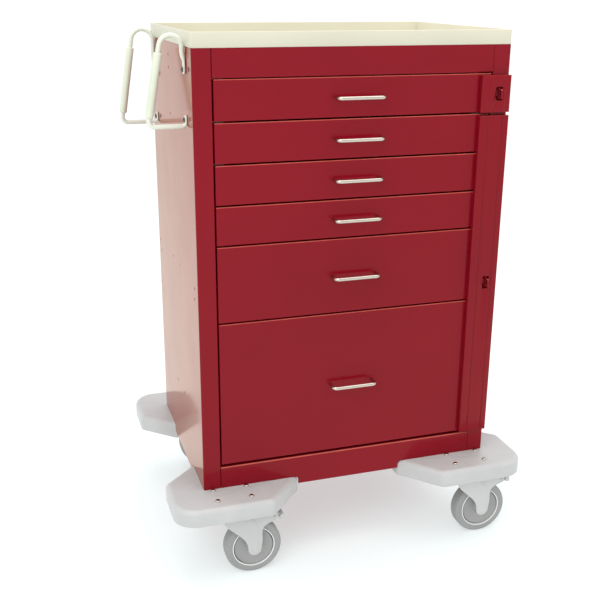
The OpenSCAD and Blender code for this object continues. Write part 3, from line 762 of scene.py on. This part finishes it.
# ---- drawers ----
def drawer_pull(number):
    """A wire pull bent to a flat bar with two legs."""
    node = f"drawer_{number}_pull"
    lo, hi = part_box(node)
    radius = 4 * MM
    z = (lo.z + hi.z) / 2
    corners = [
        Vector((lo.x + radius, hi.y)), Vector((lo.x + radius, lo.y + radius)),
        Vector((hi.x - radius, lo.y + radius)), Vector((hi.x - radius, hi.y)),
    ]
    path = bent_path(corners, [9 * MM, 9 * MM], 6)
    rings = []
    last = len(path) - 1
    for i, point in enumerate(path):
        u = (path[min(i + 1, last)] - path[max(i - 1, 0)]).normalized()
        normal = Vector((-u.y, u.x))
        rings.append([
            Vector((point.x + normal.x * n, point.y + normal.y * n, z + w))
            for n, w in cross_section(radius, radius, 0, 32)
        ])
    shell = Shell()
    shell.loft(rings)
    shell.outward()
    return make_piece(
        f"drawer_{number}_wire_pull", shell.points, shell.faces, "chrome", f"drawer_{number}",
        [node], sharp=60,
    )


# ---- wheels ----
def turned(name, node, profile, kinds, slot, body, extra=(), sharp=35):
    """A closed [radius, along the axle] profile in millimetres, turned about the wheel's axle."""
    lo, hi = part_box(node)
    centre = (lo + hi) / 2
    rings = lathe([(r * MM, y * MM) for r, y in profile], 128)
    shell = Shell()
    spans = [shell.ring([centre + p for p in ring]) for ring in rings]
    for k in range(len(spans)):
        shell.bridge(spans[k], spans[(k + 1) % len(spans)], kinds[k])
    shell.outward()
    return make_piece(
        name, shell.points, shell.faces, slot, body, [node], sharp=sharp, extra=extra,
        which=shell.kinds,
    )


def wheel(corner):
    """Moulded core: hub, dished web and rim, with a pale ring against the tyre on each side; the narrow
    groove inside each ring is painted near-black as shade.
    """
    bore, hub, hub_y, web, rim_y, ring_y = 5.05, 13, 22.9, 10.5, 13.6, 16
    # kind 1 is the pale ring, kind 2 the groove inside it, painted near-black as shade
    side = [
        (bore, hub_y, 0), (hub - 1, hub_y, 0), (hub, hub_y - 1, 0), (hub + 1.2, web + 2.5, 0),
        (hub + 3.4, web, 0), (37, web + 0.4, 0), (41, web + 1.8, 0), (42.6, rim_y, 0),
        (43, rim_y - 0.4, 2), (43.1, rim_y - 3, 2), (44.7, rim_y - 3, 1), (44.8, ring_y - 0.5, 1),
        (45.3, ring_y, 1), (46.5, ring_y, 1), (47, ring_y - 0.5, 1), (47, 13.8, 0), (50, 13.8, 0),
    ]
    profile = [(r, -y) for r, y, _ in side] + [(r, y) for r, y, _ in reversed(side)]
    half = [kind for _, _, kind in side[:-1]]
    kinds = half + [0] + half[::-1] + [0]
    return turned(
        f"wheel_core_{corner}", f"wheel_{corner}", profile, kinds, "wheel_core",
        f"wheel_{corner}", extra=["rim_ring", "painted_shade"],
    )


def leg_beads(corner):
    """The pressed bead that runs from the crown down both legs of a fork, in millimetres.

    face is the leg's outer face from the wheel's middle, rise how far the bead stands out of it,
    and root how deep its closed back lies in the sheet.
    """
    lo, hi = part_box(f"wheel_{corner}")
    axle = (lo + hi) / 2
    face = 26.4
    rise = 1.05
    root = 0.6
    # Points down the bead: x from the axle, height above the floor, half width
    line = [
        (-17, 141, 3.5), (-8, 134, 5), (0, 124, 7), (3, 110, 8), (3, 92, 8), (1.5, 74, 7.5),
        (0, 58, 6.5), (0, 52, 3),
    ]
    parts = 4
    spine = []
    for start, stop in zip(line, line[1:]):
        spine += [tuple(a + (b - a) * t / parts for a, b in zip(start, stop)) for t in range(parts)]
    spine.append(line[-1])
    rounds = 3
    for _ in range(rounds):
        spine = [spine[0]] + [
            tuple((a + 2 * b + c) / 4 for a, b, c in zip(*three))
            for three in zip(spine, spine[1:], spine[2:])
        ] + [spine[-1]]
    shell = Shell()
    steps = 12
    for side in (-1, 1):
        rings = []
        for i, (x, z, half) in enumerate(spine):
            before, after = spine[max(i - 1, 0)], spine[min(i + 1, len(spine) - 1)]
            u = Vector((after[0] - before[0], after[1] - before[1])).normalized()
            swell = min(1.0, 4 * i / len(spine), 5 * (len(spine) - 1 - i) / len(spine))
            ring = []
            for k in range(steps + 1):
                t = 2 * k / steps - 1
                out = rise * smooth(swell) * smooth((1 - abs(t)) * 2.2)
                ring.append((x - u.y * half * t, face + out - 0.02, z + u.x * half * t))
            ring += [(p[0], face - root, p[2]) for p in (ring[-1], ring[0])]
            rings.append([
                Vector((axle.x + px * MM, axle.y + side * py * MM, pz * MM)) for px, py, pz in ring
            ])
        shell.loft(rings)
    shell.outward()
    return shell


def tyre(corner):
    """Cushion tread with rounded shoulders."""
    inner, outer, half = 50.0, 62.5, 15.5
    shoulder = 6.5
    side = [(inner, 13.9), (47.1, 13.9), (47.1, half - 0.9), (48, half - 0.2), (49.5, half)]
    side += [
        (outer - shoulder + p.x, half - shoulder + p.y)
        for p in arc((0, 0), shoulder, 90, 8, 9)
    ]
    profile = [(r, -y) for r, y in side] + [(outer, 0.0)] + [(r, y) for r, y in reversed(side)]
    return turned(
        f"tyre_tread_{corner}", f"tyre_{corner}", profile, [0] * len(profile), "tyre_rubber",
        f"wheel_{corner}",
    )


# ---- build ----
make_camera()
make_floor()
make_light()
MATERIALS = make_materials()

for name, node in nodes.items():
    node.data.materials.clear()
    node.data.materials.append(MATERIALS[slot_of_node[name]])

tray()
CORNERS = {
    "front_left": (-1, -1), "front_right": (1, -1), "rear_left": (-1, 1), "rear_right": (1, 1),
}
for corner, (sx, sy) in CORNERS.items():
    bumper("bumper_" + corner, sx, sy)
    wheel(corner)
    tyre(corner)
    soften("fork_" + corner, 0.7 * MM, extra=leg_beads(corner))
caster_bolts()
push_handle("push_handle_front")
push_handle("push_handle_rear")
handle_grips()
handle_screws()
for number in range(1, 7):
    drawer_pull(number)
for node in ("brake_pedal_left", "brake_pedal_right"):
    soften(node, 0.8 * MM)
for node in ("lock_bar", "lock_flap", "lock_hinge_leaves"):
    soften(node, 0.25 * MM)
soften("seal_staples", 0.5 * MM)
